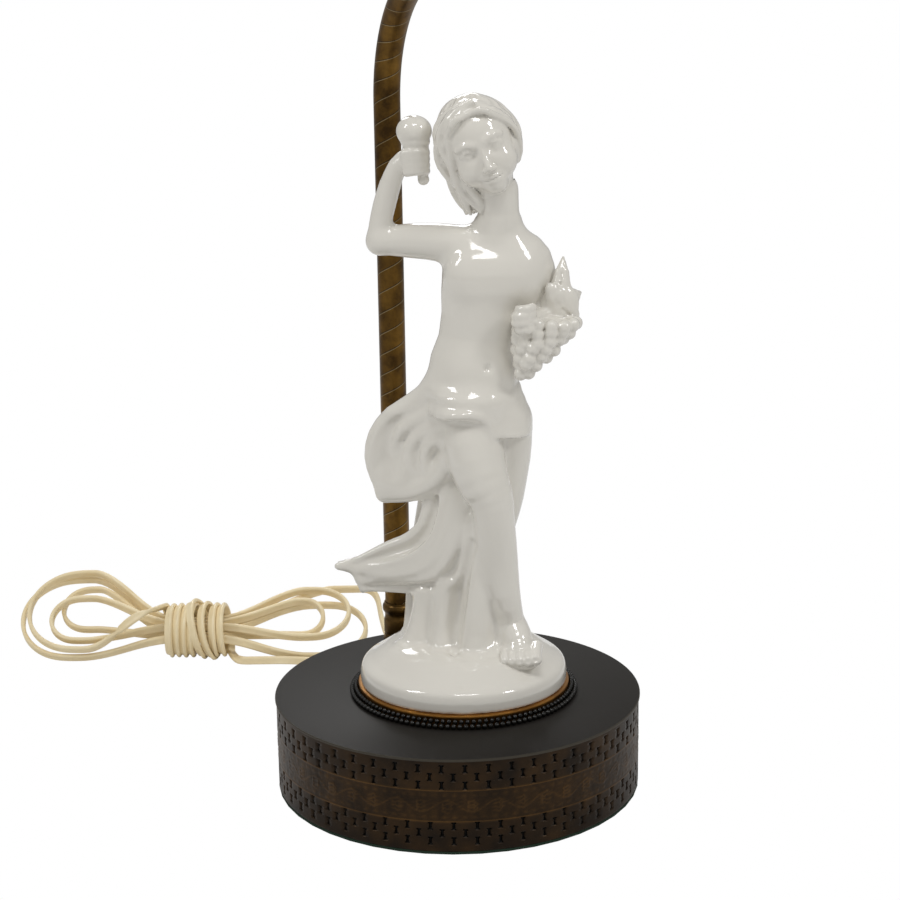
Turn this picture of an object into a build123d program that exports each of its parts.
from build123d import *
import math
import os

# A figural table lamp: a pierced drum base, a glazed porcelain figurine standing on it, and
# behind the figurine a brass arm that bends forward over it and carries the lamp holder.
# Millimetres. Origin: centre of the drum's underside, on the table. +Z is up, the arm's foot is
# at +Y, and the front is -Y. The figurine and the cord's hank are turned about Z by view_turn.

# ---- driving dimensions ------------------------------------------------------------------
view_turn = -22.5            # degrees: the figurine and the hank face the lamp's front left

# drum
drum_diameter = 170.0
drum_height = 44.0
felt_thickness = 1.2
felt_inset = 0.5
shell_thickness = 0.8        # the spun pan's wall
top_thickness = 1.2          # the spun pan's top
strip_thickness = 0.9
strip_gap = 0.1              # strip to pan wall
strip_rim_gap = 0.1          # strip to the pan's rim
cover_thickness = 2.0
cover_gap = 0.2

# pierced strip
slots_per_row = 22
slot_width = 2.4
slot_height = 4.0
slot_row_pitch = 3.75
slot_rows = 3                # in each of two bands
slot_band_edge = 2.6         # a band's outer slots to the strip's edge
cord_pad = 7.5               # unpierced strip round the cord hole

# weight and tie rod
weight_width = 112.0
weight_thickness = 13.0
weight_sides = 8
boss_width = 26.0
rod_diameter = 8.0
rod_clearance = 0.2
rod_in_plinth = 12.0
rod_cement = 0.3             # cement round the rod in the plinth
rod_past_nut = 1.0
nut_recess_width = 24.0
nut_recess_depth = 9.0
washer_width = 16.0
washer_thickness = 1.5
nut_across_flats = 13.0
nut_height = 5.0

# rings under the figurine
plinth_shift = 3.0           # the figurine stands a little off the drum's axis
plinth_diameter = 97.0
seat_height = 5.5
seat_width = 10.0
seat_lip = 0.9               # the gilt line past the plinth's foot
bead_size = 2.2
bead_ring_gap = 0.1
ring_sides = 30
plinth_sides = 24
limb_sides = 8               # flats round the figurine's lofts
figurine_height = 267.5      # the plinth's foot to the top of the hair

# arm
arm_diameter = 12.7
arm_wall = 1.5
tube_sides = 10
foot_nut_clearance = 0.98    # the foot nut's flat to the pan's wall
arm_straight = 266.0         # the upright part above the drum
arm_bend_radius = 59.5
arm_bend_angle = 60.0
arm_end = 14.0               # straight end of the tube, inside the arm's head
ferrule_height = 20.0
ferrule_gap = 0.1
nipple_diameter = 9.6
nipple_bore = 6.8
nipple_gap = 0.05
nipple_in_arm = 14.0
nipple_below_nut = 1.5
nipple_hole_gap = 0.2

# lamp holder on the arm's head
head_height = 20.0
head_diameter = 16.6
head_overlap = 12.0
saddle_thickness = 1.6
saddle_width = 12.0
saddle_span = 44.0           # between the harp's two legs
saddle_rise = 14.0
stub_height = 9.0            # what a sleeve grips on the saddle
cap_diameter = 34.0
cap_height = 21.0
holder_wall = 0.6
shell_height = 40.0
shell_overlap = 5.0
sleeve_wall = 0.8            # insulating sleeve
holder_gap = 0.15
holder_body_height = 20.0
screw_diameter = 26.6        # inside the screw shell
screw_depth = 26.0
bulb_gap = 0.1
bulb_diameter = 60.0
bulb_height = 84.0           # the glass above its base
key_shaft_diameter = 3.6
key_running_gap = 0.05
key_shaft_length = 22.0
key_shaft_start = 3.8
key_height = 10.0
key_turn = -90.0             # the key points to the front, clear of the harp
turned_sides = 16
small_sides = 12

# harp and finial
harp_wire = 4.0
wire_sides = 6
harp_height = 190.0
harp_width = 112.0
harp_leg = 34.0
harp_widest = 100.0          # the widest point above the stubs
crown_disc_diameter = 14.0
crown_disc_height = 5.0
crown_disc_overlap = 1.5     # how far the disc reaches below the wire's middle
sleeve_height = 16.0
sleeve_diameter = 7.4
sleeve_running_gap = 0.06
sleeve_lift = 12.0
stud_height = 9.0
stud_diameter = 5.0
finial_height = 27.0
finial_gap = 0.05

# cord
cord_diameter = 4.0          # round stand-in for a flat twin cord 5.3 wide and 2.8 thick
cord_sides = 4
held_cord_sides = 4
cord_exit_angle = 64.0       # degrees from +X round the drum, behind the figurine
cord_exit_height = 10.0
held_cord_diameter = 5.0
held_cord_radius = 12.0
held_cord_height = 10.5      # where it turns up into the arm
held_cord_inset = 17.0       # its inner corner to the pan's wall
bushing_width = 11.0
bushing_flange = 1.5
bushing_neck = 7.6
bushing_gap = 0.15
bushing_bore_gap = 0.15

# hank: in its own frame s runs along it, t away from the viewer, h up
hank_place = (-69.0, 213.0)
strand_pitch = 5.0
layer_pitch = 6.0            # between the loops' two layers
wrap_turns = 7
wrap_radius_pitches = 2.65
waist_margin = 4.0
fan_start = 64.0             # where the loops' straight parts begin
bend_shift = 0.3             # share by which outer strands bend nearer the waist
left_tilt = 34.0             # degrees: how far the loops' plane leans back
right_tilt = 24.0
left_centre = (15.0, 18.0)   # (t, h) of the loops' middle
right_centre = (14.0, 13.0)
# loops: (end of the straight, near half width, near layer, far half width, far layer)
left_loops = [(80.0, 27.0, 0, 27.0, 0), (64.0, 14.0, 0, 14.0, 0),
              (68.0, 15.0, 1, 15.0, 1), (74.0, 28.0, 1, 28.0, 1)]
right_loops = [(78.0, 26.0, 0, 15.0, 0), (64.0, 14.0, 0, 10.5, 1), (70.0, 17.0, 1, 23.0, 1)]
lead_in = (84.0, 28.5)       # (s, far half width) where the free lead joins
entry_radius = 14.0          # from the last loop on to the waist
exit_reach = 17.5            # from the last wrap out along the table
exit_radius = 15.0

# plug
plug_length = 30.0
plug_width = 24.0
plug_height = 13.6
blade_width = 6.35
blade_thickness = 1.5
blade_length = 17.0
blade_spacing = 12.7

# ---- values worked out from them -----------------------------------------------------------
drum_radius = drum_diameter / 2
top_under = drum_height - top_thickness
strip_outer = drum_radius * math.cos(math.pi / (2 * slots_per_row))     # half across the flats
pan_outer = strip_outer - strip_thickness - strip_gap
pan_inner = pan_outer - shell_thickness
cover_top = felt_thickness + cover_thickness
weight_top = cover_top + weight_thickness
rod_radius = rod_diameter / 2
recess_top = cover_top + nut_recess_depth
nut_low = recess_top - washer_thickness - nut_height
plinth_foot = drum_height + seat_height
arm_reach = pan_inner - foot_nut_clearance - nut_across_flats / 2     # the foot's distance from the axis
held_cord_corner = pan_inner - held_cord_inset
figure_size = figurine_height / 267.5                                 # against the stations as written
drum_facets = 2 * slots_per_row
arm_radius = arm_diameter / 2
arm_bore = arm_radius - arm_wall
nipple_radius = nipple_diameter / 2
bend = math.radians(arm_bend_angle)
arm_slant = (arm_reach - 2 * arm_bend_radius * (1 - math.cos(bend))) / math.sin(bend)
bend_half = arm_bend_radius * math.tan(bend / 2)
arm_rise = 2 * arm_bend_radius * math.sin(bend) + arm_slant * math.cos(bend)
arm_bend_start = drum_height + arm_straight
arm_top = arm_bend_start + arm_rise + arm_end
head_top = arm_top - head_overlap + head_height
cap_base = head_top + saddle_thickness
cap_radius = cap_diameter / 2
shell_base = cap_base + cap_height - shell_overlap
shell_top = shell_base + shell_height
shell_inner = cap_radius - holder_wall
screw_radius = screw_diameter / 2
screw_base = shell_top - screw_depth
leg_x = saddle_span / 2
stub_base = cap_base + saddle_rise
stub_top = stub_base + stub_height
harp_top = stub_top + harp_height
stud_base = harp_top - crown_disc_overlap + crown_disc_height
cord_radius = cord_diameter / 2
exit_angle = math.radians(cord_exit_angle)
exit_direction = Vector(math.cos(exit_angle), math.sin(exit_angle), 0)
exit_face = drum_radius + bushing_flange
wrap_radius = wrap_radius_pitches * strand_pitch
waist_height = wrap_radius + cord_radius
waist_half = wrap_turns * strand_pitch / 2

os.makedirs("parts", exist_ok=True)


def save(name, part):
    """Write one named piece."""
    export_step(part, f"parts/{name}.step")


def polar(radius, degrees, z=0.0):
    """A point at a radius and angle round the drum's axis."""
    angle = math.radians(degrees)
    return Vector(radius * math.cos(angle), radius * math.sin(angle), z)


def prism(width, sides, low, high, turn=0.0):
    """An upright prism, width measured across its flats."""
    outline = Rot(0, 0, turn) * RegularPolygon(width / 2, sides, major_radius=False)
    return Pos(0, 0, low) * extrude(outline, high - low)


def round_hole(radius, low, high):
    """A round hole with flats, a little longer than the stretch from low to high."""
    return prism(2 * radius, small_sides, low - 1, high + 1)


def faceted(rings):
    """A closed solid through rings of corners, level to level, each side as two flat triangles."""
    faces = [Face(Wire.make_polygon(ring)) for ring in (rings[0], rings[-1])]
    count = len(rings[0])
    for low, high in zip(rings, rings[1:]):
        for index in range(count):
            following = (index + 1) % count
            faces.append(Face(Wire.make_polygon([low[index], low[following], high[following]])))
            faces.append(Face(Wire.make_polygon([low[index], high[following], high[index]])))
    return Solid(Shell(faces))


def turned(levels, sides=turned_sides):
    """A turned piece with flats: rings of corners at (radius, height), joined level to level."""
    rings = [[polar(radius, 360 * index / sides, z) for index in range(sides)] for radius, z in levels]
    faces = [Face(Wire.make_polygon(ring)) for ring in (rings[0], rings[-1])]
    for low, high in zip(rings, rings[1:]):
        for index in range(sides):
            following = (index + 1) % sides
            faces.append(Face(Wire.make_polygon([low[index], low[following], high[following],
                                                 high[index]])))
    return Solid(Shell(faces))


def biarc(start, start_run, end, end_run):
    """Two arcs that meet tangentially, from a point and direction to a point and direction."""
    gap = end - start
    both = start_run + end_run
    square = 2 * (1 - start_run.dot(end_run))
    lean = gap.dot(both)
    if gap.cross(start_run).length < 1e-6 * gap.length and gap.cross(end_run).length < 1e-6 * gap.length:
        return [Line(start, end)]
    if square < 1e-9:
        reach = gap.dot(gap) / (2 * lean)
    else:
        reach = (-lean + math.sqrt(lean ** 2 + square * gap.dot(gap))) / square
    middle = (start + start_run * reach + end - end_run * reach) * 0.5
    first = TangentArc(start, middle, tangent=start_run)
    return [first, TangentArc(middle, end, tangent=first % 1)]


def smooth_path(stations):
    """A path through (point, direction) stations, two arcs from each to the next."""
    edges = []
    for (start, start_run), (end, end_run) in zip(stations, stations[1:]):
        edges += biarc(start, start_run, end, end_run)
    return Wire(edges)


# ---- drum ------------------------------------------------------------------------------------
def make_base_pan():
    """The steel pan: a flat top with a thin rim, and the wall that carries the strip."""
    top = prism(2 * strip_outer, drum_facets, top_under, drum_height)
    wall = prism(2 * pan_outer, drum_facets, felt_thickness, top_under)
    wall -= prism(2 * pan_inner, drum_facets, felt_thickness, top_under)
    arm_hole = Pos(0, arm_reach, 0) * round_hole(nipple_radius + nipple_hole_gap, top_under, drum_height)
    rod_hole = round_hole(rod_radius + rod_clearance, top_under, drum_height)
    return top + wall - arm_hole - rod_hole - cord_hole()


def cord_hole():
    """The square hole for the cord bushing, through strip and pan."""
    plane = Plane(origin=exit_direction * pan_inner + Vector(0, 0, cord_exit_height),
                  x_dir=(0, 0, 1), z_dir=exit_direction)
    return plane * Box(bushing_neck + 2 * bushing_gap, bushing_neck + 2 * bushing_gap, bushing_width)


def make_gallery_strip():
    """The pierced strip: flat facets, half a slot pitch each, so slots break joint row to row."""
    low = felt_thickness
    high = top_under - strip_rim_gap
    across = 2 * (strip_outer - strip_thickness)
    strip = prism(across + 2 * strip_thickness, drum_facets, low, high) - prism(across, drum_facets, low,
                                                                                high)
    slots = []
    for row in range(2 * slot_rows):
        in_band = row % slot_rows
        if row < slot_rows:
            height = high - slot_band_edge - in_band * slot_row_pitch
        else:
            height = low + slot_band_edge + in_band * slot_row_pitch
        for index in range(slots_per_row):
            degrees = (index + 0.5 * (row % 2) + 0.25) * 360 / slots_per_row
            place = polar(strip_outer, degrees, height)
            exit_place = exit_direction * strip_outer + Vector(0, 0, cord_exit_height)
            if (place - exit_place).length > cord_pad:
                slots.append(Pos(*place) * Rot(0, 0, degrees) * Box(4 * strip_thickness, slot_width,
                                                                    slot_height))
    return strip - slots - cord_hole()


def make_base_weight():
    """The cast-iron weight: an eight-sided slab with a boss up to the pan's top."""
    slab = prism(weight_width, weight_sides, cover_top, weight_top, 180 / weight_sides)
    boss = prism(boss_width, weight_sides, cover_top, top_under, 180 / weight_sides)
    recess = prism(nut_recess_width, weight_sides, cover_top, recess_top, 180 / weight_sides)
    return slab + boss - recess - round_hole(rod_radius + rod_clearance, cover_top, top_under)


def make_rod():
    """The tie rod, cemented into the plinth and nutted under the weight."""
    return prism(rod_diameter, small_sides, nut_low - rod_past_nut, plinth_foot + rod_in_plinth)


save("felt_pad", prism(2 * (strip_outer - felt_inset), drum_facets, 0, felt_thickness))
save("bottom_cover", prism(2 * (pan_inner - cover_gap), drum_facets, felt_thickness, cover_top))
save("base_pan", make_base_pan())
save("gallery_strip", make_gallery_strip())
save("base_weight", make_base_weight())
save("tie_rod", make_rod())
save("tie_washer", prism(washer_width, 4, recess_top - washer_thickness, recess_top)
     - round_hole(rod_radius + rod_clearance, recess_top - washer_thickness, recess_top))
save("tie_nut", prism(nut_across_flats, 6, nut_low, nut_low + nut_height)
     - round_hole(rod_radius, nut_low, nut_low + nut_height))


# ---- rings under the figurine ------------------------------------------------------------------
def under_figurine(part):
    """Put a piece made round the plinth's centre where the figurine stands."""
    return Rot(0, 0, view_turn) * Pos(plinth_shift, 0, 0) * part


def make_seat_ring():
    """The gilt seat ring: a flat ring whose rounded lip shows under the plinth."""
    outer = plinth_diameter / 2
    low = drum_height
    lip = turned([(outer, low), (outer, plinth_foot - 2), (outer + seat_lip, plinth_foot - 1.2),
                  (outer, plinth_foot)], ring_sides)
    return lip - prism(2 * (outer - seat_width), ring_sides, low, plinth_foot)


def make_bead_ring():
    """Two rows of beads round the seat ring, as two rounded mouldings."""
    inner = plinth_diameter / 2 + bead_ring_gap
    low = drum_height
    edge = inner + 0.5 * bead_size
    wide = inner + 1.9 * bead_size
    moulding = turned([(wide - 0.6, low), (wide, low + 0.5 * bead_size), (wide - 0.6, low + bead_size),
                       (edge + 0.4, low + 1.1 * bead_size), (edge, low + 1.6 * bead_size)], ring_sides)
    return moulding - prism(2 * inner, ring_sides, low, low + 2 * bead_size)


save("seat_ring", under_figurine(make_seat_ring()))
save("bead_ring", under_figurine(make_bead_ring()))


# ---- figurine -----------------------------------------------------------------------------------
# Its own frame: u to the viewer's right, w away from the viewer, z up from the plinth's foot.
def limb(stations, flat=False):
    """A loft through flat-sided ellipses (u, w, z, half across, half deep), level or, if flat, upright."""
    rings = []
    for station in stations:
        u, w, z, across, deep = [figure_size * value for value in station]
        z += plinth_foot
        corners = []
        for index in range(limb_sides):
            angle = 2 * math.pi * (index + 0.5) / limb_sides
            if flat:
                corners.append(Vector(u, w + deep * math.cos(angle), z + across * math.sin(angle)))
            else:
                corners.append(Vector(u + across * math.cos(angle), w + deep * math.sin(angle), z))
        rings.append(corners)
    return faceted(rings)


def egg(u, w, z, across, deep, high):
    """A faceted ellipsoid from its centre and half axes."""
    shares = [(0.34, -0.94), (0.77, -0.64), (1, 0), (0.77, 0.64), (0.34, 0.94)]
    return limb([(u, w, z + high * up, across * wide, deep * wide) for wide, up in shares])


def make_plinth():
    """The domed plinth."""
    foot = plinth_foot
    radius = plinth_diameter / 2
    dome = turned([(radius - 1.5, foot), (radius, foot + 4), (radius - 1.6, foot + 8.5),
                   (radius - 9, foot + 13.5), (radius - 20, foot + 17), (8, foot + 19)], plinth_sides)
    return Pos(plinth_shift, 0, 0) * dome


def cut_plinth(figure):
    """Hollow the plinth from below, round a hub that is bored for the tie rod."""
    foot = plinth_foot
    radius = plinth_diameter / 2
    cavity = turned([(radius - 6, foot - 1), (radius - 9, foot + 3), (radius - 16, foot + 10)], limb_sides)
    hub = prism(2 * rod_radius + 10, small_sides, foot, foot + 12)
    socket = prism(2 * (rod_radius + rod_cement), small_sides, foot - 1, foot + rod_in_plinth)
    return figure - (Pos(plinth_shift, 0, 0) * cavity - hub) - socket


def make_body():
    """Trunk, neck and hip cloth."""
    trunk = limb([(8.8, 0, 138.5, 19.5, 15), (9.6, 0, 154.5, 18.8, 12.8),
                  (15.5, -1, 174.5, 20.8, 14.4), (17, -1, 184.5, 22.4, 14.8),
                  (19, 1, 194.5, 22.4, 13.8), (20.5, 2, 202.5, 17.5, 11.8), (21, 1, 209.5, 11.3, 10),
                  (20.4, -2, 223.5, 9, 9)])
    cloth = limb([(8.8, -1, 141.5, 20.4, 15.6), (9, -1, 136.5, 22.2, 17.4), (11, -2, 130.5, 22.2, 18.4),
                  (16.2, -3, 116, 19.8, 16.6)])
    return [trunk, cloth]


def make_legs():
    """The straight front leg with its foot, and the leg crossed behind it."""
    front = limb([(8, -8, 128.5, 11, 11), (7.9, -13, 118, 12.6, 13), (12.5, -16, 99.5, 12.3, 12.2),
                  (16.7, -17, 90.5, 9.9, 11), (17.7, -16, 81, 9.2, 10), (17.2, -12, 54.5, 11, 9.6),
                  (15.9, -11, 42.5, 12.4, 10.4), (15, -12, 33.5, 13.6, 11.6)])
    foot = limb([(27, -30, 13, 10.5, 8), (24.5, -26, 18.5, 12.4, 12), (19.5, -20, 26.5, 13.6, 13),
                 (15, -12, 36.5, 13.2, 10.5)])
    rear = limb([(24, 2, 122.5, 11, 12), (23.6, 2, 95.5, 9.6, 11), (22, 3, 80.5, 8.4, 10),
                 (15, 5, 60.5, 8.4, 9.4), (8, 5, 40.5, 9, 9), (2, 4, 12.5, 11, 10)])
    return [front, foot, rear]


def make_head():
    """A plain head with its hair: a cap, a long lock at one side and curls at the other."""
    skull = limb([(19.5, -8, 221, 5, 5), (17.8, -8, 231.5, 12.4, 13), (16.4, -6.6, 238.5, 14.6, 15.6),
                  (15.2, -5.2, 246.5, 15.4, 16.4), (14.2, -4, 254.5, 14.4, 15.2), (13, -3, 265.1, 4, 4.4)])
    cap = egg(13.3, 1, 249, 18.2, 16.5, 18.6)
    lock = limb([(12.5, 2, 211.5, 3, 4), (10.5, 2, 216.5, 4.6, 5.4), (4.5, 3, 225.5, 5.8, 7),
                 (-1.4, 3, 235.5, 5.4, 7.5), (-3.4, 2, 246.5, 4.6, 7), (-2, 2, 256.5, 4, 6)])
    curls = limb([(27.5, 5, 229.5, 4, 6.5), (29.6, 4, 241.5, 4.2, 8), (29, 2, 252.5, 4.4, 8),
                  (24, 0, 260.5, 4.5, 7)])
    return [skull, cap, lock, curls]


def make_cup_arm():
    """The raised arm, bent back at the elbow, with the round cup in its hand."""
    upper = limb([(10, 0, 201, 9, 10), (-5, 2, 203.5, 8.6, 8.6), (-24, 5.5, 203.5, 7.3, 7.5),
                  (-33, 6, 204, 5.4, 5.6), (-36.8, 6, 204.3, 2, 2.4)], flat=True)
    forearm = limb([(-30.5, 6, 198.5, 4.6, 5), (-31, 6, 205.5, 5.8, 6.2), (-30.8, 6, 213.5, 4.9, 5.6),
                    (-26.2, 6, 230.5, 5, 5.2), (-22.5, 6, 239.5, 5.2, 5.4), (-21, 6, 242.5, 2.6, 3)])
    hand = limb([(-25, 6, 237.5, 3.4, 3.8), (-18.5, 5, 240, 6.6, 6.4), (-12, 4, 240, 6.2, 6),
                 (-8, 3, 236.5, 3, 4)], flat=True)
    cup = egg(-15.4, 6, 251.9, 7.9, 7.9, 7.9)
    collar = limb([(-14.8, 6, 238.5, 5.4, 5.4), (-14.8, 6, 246.9, 6.4, 6.4)])
    return [upper, forearm, hand, cup, collar]


def make_fruit_arm():
    """The lowered arm, its hand, the bunch of grapes it holds and the vine leaves."""
    upper = limb([(36, 2, 205.5, 6, 7), (40, 3, 197.5, 7.4, 8.6), (43, 4, 188.5, 6.6, 7.6),
                  (44.5, 3, 180.5, 6, 7), (44.5, -2, 170.5, 5.6, 6)])
    forearm = limb([(29, -22, 172, 3.4, 4.2), (36, -17, 170.5, 5.4, 5.8), (43, -8, 170, 5.6, 6.4),
                    (47, 0, 171.5, 3.4, 4.4)],
                   flat=True)
    hand = egg(29.6, -20.5, 172, 6.4, 5.8, 7)
    leaves = [limb([(44, -3, 174.5, 5, 3), (47, -1, 185.5, 4.2, 2.4), (49, 1, 197.5, 0.9, 0.8)]),
              limb([(45, -3, 176.5, 5.4, 3), (51, -1, 181.5, 4, 2.2), (57, 1, 179.9, 0.9, 0.8)], flat=True),
              limb([(46, -4, 171.5, 5.4, 3), (51.5, -3, 168.5, 4.4, 2.4), (56, -1, 167.7, 0.9, 0.8)],
                   flat=True)]
    return [upper, forearm, hand] + leaves + make_grapes()


def make_grapes():
    """The bunch: rows of faceted berries round a core, fewer in each lower row."""
    core = limb([(42, -15, 172.5, 9, 6), (39, -17, 162.5, 8.4, 6.4), (34, -18.5, 153.5, 5.4, 5),
                 (32, -19, 148, 2.4, 2.4)])
    berries = []
    rows = [(41.5, -15, 168.5, 9.5, 4), (39.5, -16.5, 161, 8.6, 4), (35.5, -18, 154, 5.2, 3)]
    for u, w, z, reach, count in rows:
        for index in range(count):
            turn = math.radians(170 + (index + 0.5) * 200 / count)
            across = u + reach * math.cos(turn)
            away = w + 0.75 * reach * math.sin(turn)
            berries.append(berry(across, away, z + 1.6 * (index % 2), 3.8))
    return [core] + berries


def berry(u, w, z, radius):
    """One faceted grape."""
    shares = [(0.5, -0.86), (1, 0), (0.5, 0.86)]
    return limb([(u, w, z + radius * up, radius * wide, radius * wide) for wide, up in shares])


def make_drape():
    """The swirl of cloth at the hip, its fall behind the legs, the wing and the ridges of its folds."""
    pouch = egg(-22, 8, 106.5, 19.8, 12.5, 26)
    gather = limb([(6, 2, 135, 6, 10), (-8, 4, 130, 8.6, 11), (-18, 7, 122.5, 9, 11),
                   (-28, 8, 112.5, 7, 8)], flat=True)
    fall = limb([(-22.5, 6, 43.1, 19.8, 6), (-20.5, 6, 50.5, 22.4, 8), (-16, 5, 58.5, 21.5, 9),
                 (-8.5, 4, 67.5, 15.8, 10),
                 (-6, 4, 78.5, 14.8, 10.6), (-4, 4, 92.5, 14, 11.5), (-2, 4, 108.5, 13, 12)])
    wing = limb([(-55.6, 6, 52.9, 0.8, 0.8), (-47, 6, 51.9, 4.2, 3.6), (-28, 6, 51.5, 8, 7)], flat=True)
    column = limb([(-14.8, 2, 11.5, 14.8, 12), (-13.6, 2, 20.5, 11.8, 10.4), (-10.3, 2, 32.5, 11.1, 9.6),
                   (-7.3, 2, 43.5, 11.1, 9.6), (-3, 3, 56.5, 9, 9)])
    ridges = []
    for step in range(3):
        low = 7.5 * step
        ridges.append(limb([(-34 + 5 * step, 0, 53.5 - 0.6 * low, 4, 3),
                            (-20 + 4 * step, -3, 60.5 - 0.8 * low, 3.6, 3.4),
                            (-10 + 3 * step, -6, 73.5 - 0.8 * low, 3.4, 3.2),
                            (-7 + 2 * step, -8, 88.5 - low, 3.4, 3.2),
                            (-3 + 2 * step, -7, 101.5 - low, 2.2, 2.2)]))
    return [pouch, gather, fall, wing, column] + ridges


figure = make_plinth() + make_legs() + make_body() + make_drape()
figure = figure + make_head() + make_cup_arm() + make_fruit_arm()
save("figurine", Rot(0, 0, view_turn) * cut_plinth(figure))


# ---- arm ---------------------------------------------------------------------------------------
arm_low_corner = arm_bend_start + bend_half
arm_high_corner = arm_top - arm_end - bend_half


def arm_path():
    """The arm's centre line: up, over towards the drum's axis, and upright again."""
    return FilletPolyline((0, arm_reach, drum_height), (0, arm_reach, arm_low_corner),
                          (0, 0, arm_high_corner), (0, 0, arm_top), radius=arm_bend_radius)


def make_arm_tube():
    """The bent brass tube."""
    ring = RegularPolygon(arm_radius, tube_sides) - RegularPolygon(arm_bore, tube_sides, major_radius=False)
    section = Plane(origin=(0, arm_reach, drum_height)) * ring
    return sweep(section, arm_path())


def make_ferrule():
    """The turned collar at the arm's foot: flared foot, two grooves and a rounded lip."""
    low = drum_height
    body = arm_radius + 0.75
    lip = body + 0.65
    levels = [(lip, low), (lip, low + 1.2), (body, low + 3.2), (body, low + 11.6), (body - 0.5, low + 12.2),
              (body - 0.5, low + 14.2), (body, low + 14.8), (lip, low + 16.2), (lip, low + 18.4),
              (body, low + ferrule_height)]
    bore = prism(2 * (arm_radius + ferrule_gap), tube_sides, low - 1, low + ferrule_height + 1)
    return Pos(0, arm_reach, 0) * (turned(levels) - bore)


nipple_low = top_under - nut_height - nipple_below_nut
nipple_length = drum_height + nipple_in_arm - nipple_low


def pipe(outer_width, bore_width, low, length):
    """A short threaded pipe, left smooth, with flats."""
    high = low + length
    return prism(outer_width, turned_sides, low, high) - prism(bore_width, turned_sides, low, high)


save("arm_tube", make_arm_tube())
save("arm_ferrule", make_ferrule())
save("foot_nipple", Pos(0, arm_reach, 0)
     * pipe(nipple_diameter - 2 * nipple_gap, nipple_bore, nipple_low, nipple_length))
save("foot_nut", Pos(0, arm_reach, 0)
     * (prism(nut_across_flats, 6, top_under - nut_height, top_under, 30)
        - prism(nipple_diameter, turned_sides, top_under - nut_height, top_under)))


# ---- lamp holder ---------------------------------------------------------------------------------
def make_arm_head():
    """The coupling on the arm's end, bored for the tube below and the nipple above."""
    low = arm_top - head_overlap
    radius = head_diameter / 2
    levels = [(radius, low), (radius, low + 2), (radius - 0.8, low + 3), (radius - 0.8, low + 9),
              (radius + 1.2, low + 11), (radius + 1.2, low + 13), (radius - 1.2, low + 16),
              (radius - 1.2, head_top)]
    tube_bore = prism(2 * (arm_radius + nipple_gap), tube_sides, low - 1, arm_top)
    return turned(levels) - tube_bore - prism(nipple_diameter, turned_sides, low, head_top)


def make_saddle():
    """The harp's saddle: a strip under the socket cap, bent up to a round stub at each end."""
    length = saddle_span + saddle_thickness
    blank = Pos(0, 0, head_top + saddle_thickness / 2) * Box(length, saddle_width, saddle_thickness)
    bore = Pos(0, 0, head_top) * prism(nipple_diameter, turned_sides, -saddle_thickness,
                                       3 * saddle_thickness)
    saddle = blank - bore
    for side in (-1, 1):
        rise = stub_base - head_top
        riser = Pos(side * leg_x, 0, head_top + rise / 2) * Box(saddle_thickness, saddle_width, rise)
        foot = Pos(side * leg_x, 0, stub_base - 1) * Box(harp_wire + 3, saddle_width, 2)
        stub = Pos(side * leg_x, 0, 0) * prism(harp_wire, small_sides, stub_base, stub_top)
        saddle = saddle + riser + foot + stub
    return saddle


def make_cap():
    """The socket's cap: a brass cup with a hole for the nipple."""
    neck = nipple_radius + 3
    outer = turned([(neck, cap_base), (neck + 3, cap_base + 2), (cap_radius - 1, cap_base + 13),
                    (cap_radius + 0.6, cap_base + 14), (cap_radius + 0.6, cap_base + cap_height)])
    inner = turned([(neck - holder_wall, cap_base + 1.2), (neck + 2, cap_base + 3.2),
                    (cap_radius - 1.8, cap_base + 14),
                    (cap_radius, cap_base + 15.2), (cap_radius, cap_base + cap_height)])
    return outer - inner - prism(nipple_diameter, turned_sides, cap_base, cap_base + 4)


def make_shell():
    """The socket's brass shell with the slot for the key's shaft."""
    shell = turned([(cap_radius - holder_gap, shell_base), (cap_radius - holder_gap, shell_top - 3),
                    (cap_radius + 0.8, shell_top - 2), (cap_radius + 0.8, shell_top - 1),
                    (cap_radius - holder_gap, shell_top)])
    return shell - prism(2 * flat_radius(shell_inner), turned_sides, shell_base, shell_top) - key_slot(0.8)


def flat_radius(radius):
    """Half the width across flats of a turned piece with this corner radius."""
    return radius * math.cos(math.pi / turned_sides)


def key_slot(room):
    """The hole for the key's shaft, open to the lower edge, with room all round."""
    radius = key_shaft_diameter / 2 + room
    low = shell_base - 1
    high = key_axis
    hole = Pos(cap_radius, 0, high) * Rot(0, 90, 0) * prism(2 * radius, small_sides, -8, 8)
    slot = Pos(cap_radius, 0, (low + high) / 2) * Box(16, 2 * radius, high - low)
    return Rot(0, 0, key_turn) * (hole + slot)


key_axis = shell_base + key_height
sleeve_outer = shell_inner - holder_gap
sleeve_inner = sleeve_outer - sleeve_wall
body_radius = sleeve_inner - holder_gap
body_low = cap_base + 12.0
body_high = body_low + holder_body_height
contact_top = screw_base + 3.0


def make_insulator():
    """The insulating sleeve inside the shell."""
    sleeve = turned([(sleeve_outer, shell_base), (sleeve_outer, shell_top - 1)])
    return sleeve - prism(2 * flat_radius(sleeve_inner), turned_sides, shell_base,
                          shell_top) - key_slot(0.5)


def make_holder_body():
    """The socket's inner body, which holds the switch, the screw shell and the contact."""
    waist = body_radius - 4
    body = turned([(waist, body_low), (waist, shell_base), (body_radius, shell_base + 0.4),
                   (body_radius, screw_base)])
    bore_radius = key_shaft_diameter / 2 + key_running_gap
    bore = Pos(0, 0, key_axis) * Rot(0, 90, 0) * prism(2 * bore_radius, turned_sides, key_shaft_start,
                                                       body_radius + 2)
    return body - Rot(0, 0, key_turn) * bore


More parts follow.
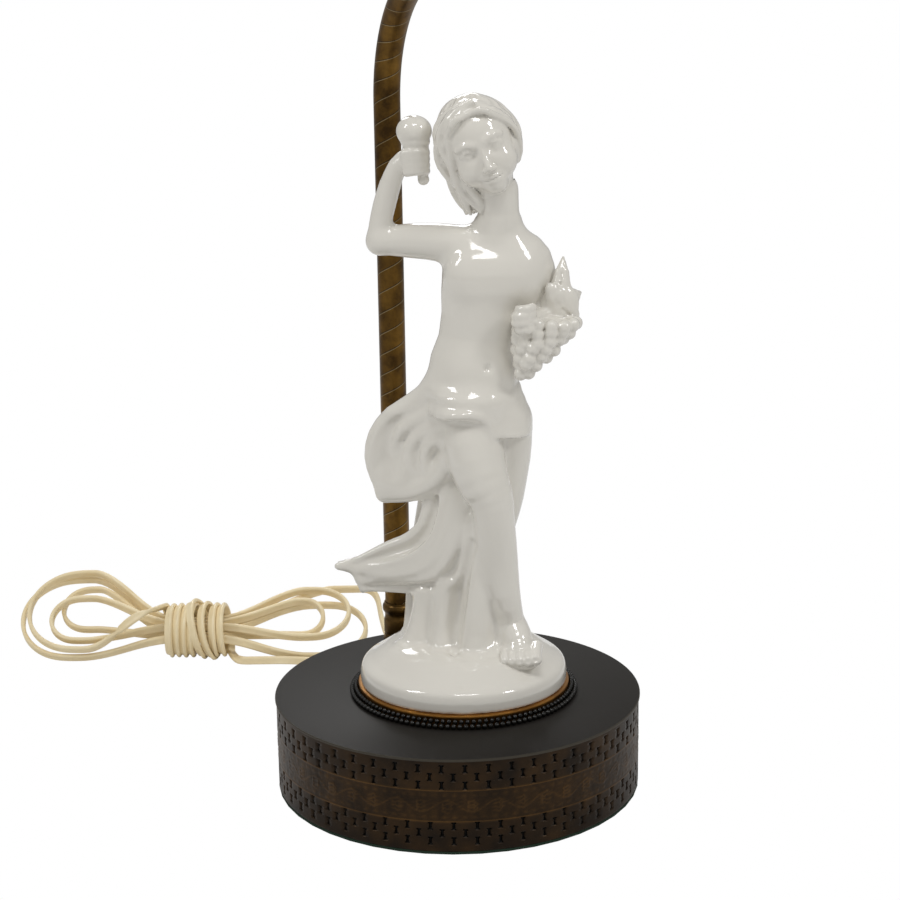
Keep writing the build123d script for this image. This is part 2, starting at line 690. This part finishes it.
def make_screw_shell():
    """The screw shell that grips the bulb's base."""
    outer = screw_radius + holder_wall
    shell = turned([(outer, screw_base), (outer, shell_top - 2)])
    floor = screw_base + holder_wall
    opening = prism(12, turned_sides, screw_base, floor)
    return shell - turned([(screw_radius, floor), (screw_radius, shell_top)]) - opening


def make_centre_contact():
    """The sprung centre contact, a bent leaf on the holder's body."""
    leaf = Pos(0, 0, screw_base + 0.4) * Box(9, 4, 0.8)
    button = Pos(1.5, 0, (screw_base + contact_top) / 2) * Box(3.4, 3.4, contact_top - screw_base)
    return leaf + button


def make_switch_key():
    """The turn key: a round shaft and a flat oval grip."""
    start = key_shaft_start + 0.2
    end = start + key_shaft_length
    shaft = Pos(0, 0, key_axis) * Rot(0, 90, 0) * turned([(key_shaft_diameter / 2, start),
                                                          (key_shaft_diameter / 2, end)])
    outline = [(6.5 * math.cos(turn * math.pi / 6), 8 * math.sin(turn * math.pi / 6)) for turn in range(12)]
    grip = Pos(end + 5, 0, key_axis) * Rot(90, 0, 0) * extrude(make_face(Polyline(*outline, close=True)),
                                                               1.5, both=True)
    return Rot(0, 0, key_turn) * (shaft + grip)


base_radius = flat_radius(screw_radius) - bulb_gap


def make_bulb_base():
    """The bulb's screw base, down to its insulated foot."""
    return turned([(5.5, contact_top + 1.6), (6.4, contact_top + 2.6), (base_radius - 0.8, contact_top + 4),
                   (base_radius, contact_top + 5.5), (base_radius, shell_top + 2)])


def make_bulb_glass():
    """The pear-shaped glass, from its neck to the crown."""
    low = shell_top + 2
    radius = bulb_diameter / 2
    shares = [(0.42, 0), (0.46, 0.1), (0.58, 0.24), (0.8, 0.4), (0.95, 0.52), (1, 0.64), (0.95, 0.77),
              (0.8, 0.88), (0.55, 0.96), (0.2, 1)]
    return turned([(radius * across, low + bulb_height * up) for across, up in shares])


holder_nipple_low = arm_top + 0.4
save("arm_head", make_arm_head())
save("holder_nipple", pipe(nipple_diameter - 2 * nipple_gap, nipple_bore, holder_nipple_low,
                           cap_base + 6 - holder_nipple_low))
save("harp_saddle", make_saddle())
save("socket_cap", make_cap())
save("socket_shell", make_shell())
save("insulating_sleeve", make_insulator())
save("socket_body", make_holder_body())
save("screw_shell", make_screw_shell())
save("centre_contact", make_centre_contact())
save("switch_key", make_switch_key())
save("bulb_base", make_bulb_base())
save("bulb_contact", turned([(3.6, contact_top), (4.4, contact_top + 1.6)], 12))
save("bulb_glass", make_bulb_glass())


# ---- harp and finial ----------------------------------------------------------------------------
def make_harp():
    """The harp: one wire from leg to leg, bowed out in arcs, with a stud for the finial on top."""
    up = Vector(0, 0, 1)
    over = Vector(1, 0, 0)
    stations = [(Vector(-leg_x, 0, stub_top), up), (Vector(-leg_x, 0, stub_top + harp_leg), up),
                (Vector(-harp_width / 2, 0, stub_top + harp_widest), up), (Vector(0, 0, harp_top), over),
                (Vector(harp_width / 2, 0, stub_top + harp_widest), up * -1),
                (Vector(leg_x, 0, stub_top + harp_leg), up * -1), (Vector(leg_x, 0, stub_top), up * -1)]
    wire = sweep(Plane(origin=stations[0][0]) * RegularPolygon(harp_wire / 2, wire_sides),
                 smooth_path(stations))
    disc = prism(crown_disc_diameter, turned_sides, harp_top - crown_disc_overlap, stud_base)
    stud = prism(stud_diameter * math.cos(math.pi / small_sides), small_sides, stud_base,
                 stud_base + stud_height)
    return wire + disc + stud


def make_harp_sleeve(side):
    """A sleeve that locks one leg of the harp on its stub; it slides up to free the harp."""
    low = stub_base
    radius = sleeve_diameter / 2
    outer = turned([(radius, low), (radius, low + sleeve_height - 1.5), (radius - 1, low + sleeve_height)],
                   small_sides)
    bore = round_hole(harp_wire / 2 + sleeve_running_gap, low, low + sleeve_height)
    return Pos(side * leg_x, 0, 0) * (outer - bore)


def make_finial():
    """The turned finial: a foot, a neck, a ball and a tip, bored for the harp's stud."""
    low = stud_base + 0.2
    levels = [(6.5, low), (6.5, low + 2), (4.2, low + 4), (4.2, low + 8.6), (8.4, low + 13),
              (9.2, low + 16.5), (7.8, low + 20.5), (3.6, low + 23.4), (1.2, low + finial_height)]
    bore = prism(stud_diameter + 2 * finial_gap, small_sides, low - 1, low + stud_height)
    return turned(levels) - bore


save("harp", make_harp())
save("harp_sleeve_left", make_harp_sleeve(-1))
save("harp_sleeve_right", make_harp_sleeve(1))
save("finial", make_finial())


# ---- cord held inside the drum and the arm --------------------------------------------------------
def radial(distance, z):
    """A point straight out from the drum's axis on the cord's exit side."""
    return exit_direction * distance + Vector(0, 0, z)


def make_held_cord():
    """The cord from the bushing's face, across the drum, up the arm and into the socket's cap."""
    path = FilletPolyline(radial(exit_face, cord_exit_height), radial(held_cord_corner, cord_exit_height),
                          Vector(0, arm_reach, held_cord_height), Vector(0, arm_reach, arm_low_corner),
                          Vector(0, 0, arm_high_corner), Vector(0, 0, body_low - 0.5),
                          radius=[held_cord_radius, held_cord_radius, arm_bend_radius, arm_bend_radius])
    start = Plane(origin=path @ 0, z_dir=path % 0)
    return sweep(start * RegularPolygon(held_cord_diameter / 2, held_cord_sides), path)


def make_cord_bushing():
    """The moulded bushing in the drum's back: flange outside, square neck, inner lip."""
    plane = Plane(origin=radial(exit_face, cord_exit_height), x_dir=(0, 0, 1), z_dir=exit_direction)
    depth = exit_face - pan_inner + 3
    flange = Pos(0, 0, -bushing_flange / 2) * Box(bushing_width, bushing_width, bushing_flange)
    neck = Pos(0, 0, -depth / 2) * Box(bushing_neck, bushing_neck, depth)
    bore = prism(held_cord_diameter + 2 * bushing_bore_gap, small_sides, -depth - 1, 1)
    return plane * (flange + neck - bore)


save("held_cord", make_held_cord())
save("cord_bushing", make_cord_bushing())


# ---- free cord ----------------------------------------------------------------------------------
def to_lamp(s, t, h):
    """A point of the hank's own frame in the lamp's frame."""
    turn = math.radians(view_turn)
    return Vector(hank_place[0] + s * math.cos(turn) - t * math.sin(turn),
                  hank_place[1] + s * math.sin(turn) + t * math.cos(turn), h)


def along(s, t, h):
    """A direction of the hank's own frame in the lamp's frame."""
    return (to_lamp(s, t, h) - to_lamp(0, 0, 0)).normalized()


def fan_point(centre, tilt, side, offset, layer, s):
    """A point of the leaning loops: offset across them, layer by layer."""
    lean = math.radians(tilt)
    rise = layer * layer_pitch
    return to_lamp(side * s, centre[0] + offset * math.cos(lean) - rise * math.sin(lean),
                   centre[1] + offset * math.sin(lean) + rise * math.cos(lean))


def slot_point(side, column, layer):
    """A strand's place at one end of the waist."""
    s = side * (waist_half + waist_margin)
    return to_lamp(s, column * strand_pitch, waist_height + (layer - 0.5) * strand_pitch)


def bend_point(slot, fan, side, column, offset, outward):
    """The middle of a strand's double bend between waist and loops: a point and a direction."""
    gap = fan - slot
    reach = gap.dot(along(side, 0, 0))
    across = gap - along(side, 0, 0) * reach
    slope = 2 * math.atan2(across.length, reach)
    run = along(side, 0, 0) * math.cos(slope) + across.normalized() * math.sin(slope)
    spread = abs(column * strand_pitch + offset) / 2
    place = (slot + fan) * 0.5 - along(side, 0, 0) * (spread * math.sin(slope) * bend_shift)
    return (place, run if outward else run * -1)


def hank_loop(side, loop, start, end):
    """One loop's stations, from the strand that runs out of the waist to the one that comes back."""
    run = along(side, 0, 0)
    centre, tilt = (left_centre, left_tilt) if side == -1 else (right_centre, right_tilt)
    s, near, near_layer, far, far_layer = loop
    offsets = [(far, far_layer), (-near, near_layer)]
    if side == 1:
        offsets.reverse()
    fans = [fan_point(centre, tilt, side, offset, layer, fan_start) for offset, layer in offsets]
    ends = [fan_point(centre, tilt, side, offset, layer, s) for offset, layer in offsets]
    apex = (ends[0] + ends[1]) * 0.5 + run * ((near + far) / 2)
    slot = slot_point(side, *start)
    stations = [bend_point(slot, fans[0], side, start[0], offsets[0][0], True), (fans[0], run)]
    if s > fan_start:
        stations.append((ends[0], run))
    stations.append((apex, (ends[1] - ends[0]).normalized()))
    if s > fan_start:
        stations.append((ends[1], run * -1))
    stations.append((fans[1], run * -1))
    if end:
        stations.append(bend_point(slot_point(side, *end), fans[1], side, end[0], offsets[1][0], False))
    return stations


def hank_stations():
    """The hank's stations, each a point and a direction, from the free lead to the last loop."""
    left_run = along(-1, 0, 0)
    # waist columns and layers of the seven strands, far and near in turn
    waist = [(1.5, 0), (-1.5, 0), (0.5, 0), (-0.5, 0), (0.5, 1), (-0.5, 1), (1.5, 1)]
    first = fan_point(right_centre, right_tilt, 1, lead_in[1], 0, fan_start)
    stations = [(fan_point(right_centre, right_tilt, 1, lead_in[1], 0, lead_in[0]), left_run),
                (first, left_run),
                bend_point(slot_point(1, *waist[0]), first, 1, waist[0][0], lead_in[1], False)]
    for index, strand in enumerate(waist):
        side = 1 if index % 2 == 0 else -1
        run = along(-side, 0, 0)
        stations += [(slot_point(side, *strand), run), (slot_point(-side, *strand), run)]
        loops = left_loops if side == 1 else right_loops
        following = waist[index + 1] if index + 1 < len(waist) else None
        stations += hank_loop(-side, loops[index // 2], strand, following)
    return stations


def wrap_stations():
    """The wraps' stations, a quarter turn apart, from the top of the waist to its underside."""
    stations = []
    quarters = 4 * wrap_turns + 2
    advance = strand_pitch / (2 * math.pi)
    for quarter in range(quarters + 1):
        turn = quarter * math.pi / 2
        place = to_lamp(-waist_half + advance * turn, wrap_radius * math.sin(turn),
                        waist_height + wrap_radius * math.cos(turn))
        stations.append((place, along(advance, wrap_radius * math.cos(turn),
                                      -wrap_radius * math.sin(turn))))
    return stations


def hank_path():
    """The whole hank: loops, the step up on to the waist, the wraps and the way out."""
    entry = (to_lamp(-waist_half - entry_radius, -entry_radius, waist_height + wrap_radius), along(1, 0, 0))
    way_out = (to_lamp(waist_half + exit_reach, -exit_radius, cord_radius), along(1, 0, 0))
    return smooth_path(hank_stations() + [entry] + wrap_stations() + [way_out])


def cord_tube(path):
    """The cord's tube along a path, with flats."""
    start = Plane(origin=path @ 0, z_dir=path % 0)
    return sweep(start * RegularPolygon(cord_radius, cord_sides), path)


def least_gap(path, step=1.5, near=14.0):
    """The least clear gap between parts of the path that are not next to each other."""
    count = int(path.length / step)
    points = [path.position_at(index / count) for index in range(count + 1)]
    cells = {}
    least = 1e9
    size = 3 * cord_diameter
    for index, point in enumerate(points):
        cell = (int(point.X // size), int(point.Y // size), int(point.Z // size))
        for di in (-1, 0, 1):
            for dj in (-1, 0, 1):
                for dk in (-1, 0, 1):
                    for other in cells.get((cell[0] + di, cell[1] + dj, cell[2] + dk), []):
                        if (index - other) * step > near:
                            least = min(least, (point - points[other]).length)
        cells.setdefault(cell, []).append(index)
    return least - cord_diameter


def eased_route(points):
    """A tube's path through hand-picked points, each corner as round as its runs allow."""
    radii = []
    for before, point, after in zip(points, points[1:], points[2:]):
        turn = math.radians((point - before).get_angle(after - point))
        shorter = min((point - before).length, (after - point).length)
        radii.append(0.45 * shorter / math.tan(turn / 2))
    print("cord radii", [round(radius) for radius in radii])
    return FilletPolyline(*points, radius=radii)


def viewed(u, w, z):
    """A point given across and away from the viewer, in the lamp's frame."""
    turn = math.radians(view_turn)
    return Vector(u * math.cos(turn) - w * math.sin(turn), u * math.sin(turn) + w * math.cos(turn), z)


hank = hank_path()
hank_start = hank @ 0
hank_end = hank @ 1

lead_route = [radial(exit_face, cord_exit_height), radial(exit_face + 16, cord_exit_height),
              radial(exit_face + 35, cord_radius + 0.6), viewed(2, 141, cord_radius),
              viewed(-18, 160, cord_radius + 1),
              viewed(-37, 174, cord_radius + 3), viewed(-42, 192, cord_radius + 9),
              hank_start + along(1, 0, 0) * 16,
              hank_start]
tail_route = [hank_end, hank_end + along(1, 0, 0) * 20, viewed(-68, 150, cord_radius),
              viewed(-54, 140, cord_radius + 2),
              viewed(-46, 133.5, plug_height / 2), viewed(-39.5, 128, plug_height / 2)]


def make_plug_body(plane):
    """The moulded plug: a tapered grip towards the cord."""
    width = plug_width / 2
    outline = Polyline((0, -0.32 * plug_width), (0.45 * plug_length, -0.42 * plug_width),
                       (0.72 * plug_length, -width),
                       (plug_length, -width), (plug_length, width), (0.72 * plug_length, width),
                       (0.45 * plug_length, 0.42 * plug_width), (0, 0.32 * plug_width), close=True)
    body = extrude(make_face(outline), plug_height / 2, both=True)
    body = chamfer(body.edges().filter_by(Axis.Z, reverse=True), 1.6)
    return plane * body


def make_plug_blades(plane):
    """The plug's two flat blades."""
    blades = [plane * Pos(plug_length + blade_length / 2, side * blade_spacing / 2, 0)
              * Box(blade_length, blade_thickness, blade_width) for side in (-1, 1)]
    return Compound(children=blades)


tail = eased_route(tail_route)
plug_run = tail % 1
plug_run = Vector(plug_run.X, plug_run.Y, 0).normalized()
plug_plane = Plane(origin=tail @ 1, x_dir=plug_run, z_dir=(0, 0, 1))
hank_tube = cord_tube(hank)
section_area = cord_sides / 2 * cord_radius ** 2 * math.sin(2 * math.pi / cord_sides)
lead = eased_route(lead_route)
print("hank", round(hank.length), "lead", round(lead.length), "tail", round(tail.length), "mm of cord")
print("hank volume against section times length", round(hank_tube.volume / (section_area * hank.length), 4))
print("hank's least gap", round(least_gap(hank), 2))
save("cord_hank", hank_tube)
save("cord_lead", cord_tube(lead))
save("cord_tail", cord_tube(tail))
save("plug_body", make_plug_body(plug_plane))
save("plug_blades", make_plug_blades(plug_plane))
